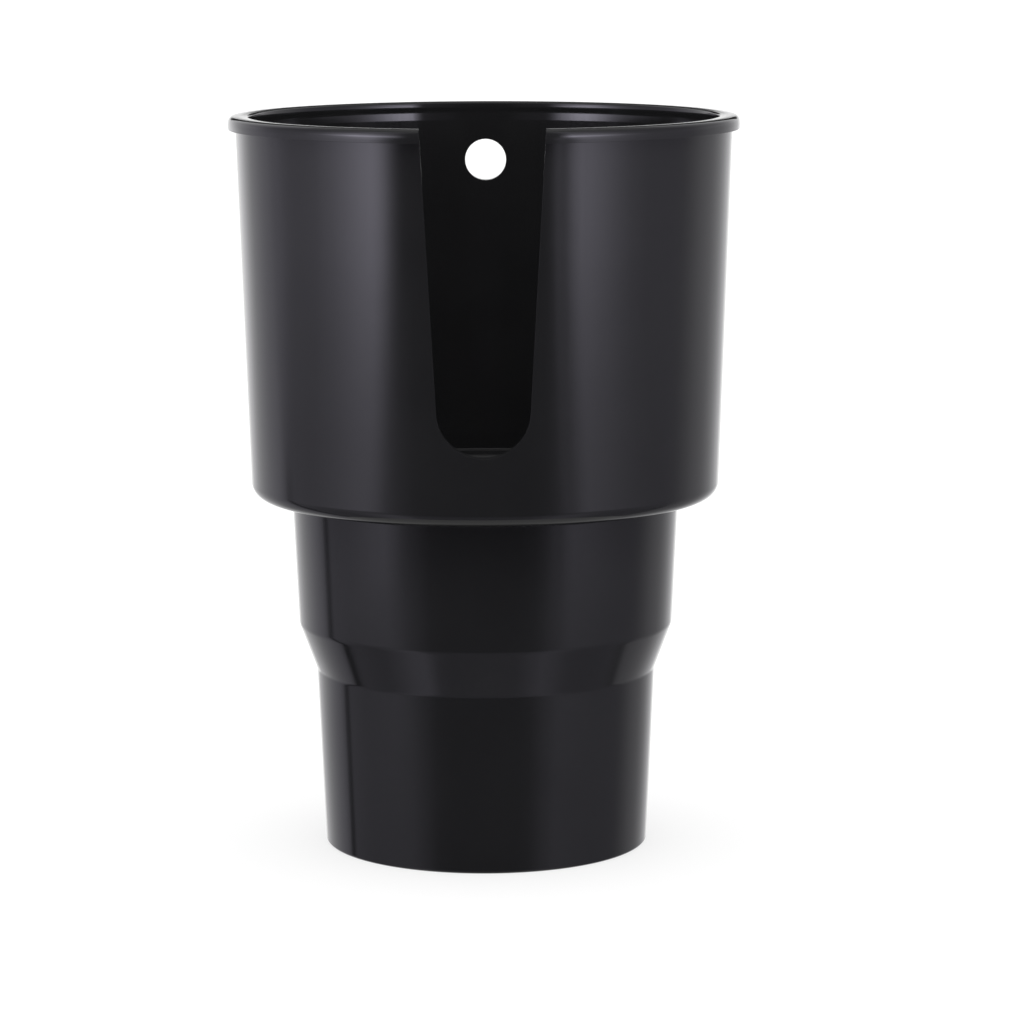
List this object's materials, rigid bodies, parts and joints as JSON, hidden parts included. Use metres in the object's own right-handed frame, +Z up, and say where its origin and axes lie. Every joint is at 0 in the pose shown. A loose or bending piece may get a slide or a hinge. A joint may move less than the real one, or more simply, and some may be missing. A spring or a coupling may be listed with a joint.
{
  "type": "car cup holder",
  "caption": "Stepped gloss black cup holder that drops into a car's cup well: wide upper cup with a rim flange, a tapered handle slot in front and a round hole behind.",
  "frame": {"origin": "centre of the foot ring's underside, on the axis of the holder", "axes": "+Z up along the holder's axis to the mouth; -Y to the front, where the handle slot is; +Y to the back wall with the round hole"},
  "size_m": [0.1062, 0.1047, 0.1533],
  "materials": {
    "shell": "gloss black, as moulded"
  },
  "bodies": {
    "root": {"holder_body": "shell"}
  },
  "joints": []
}
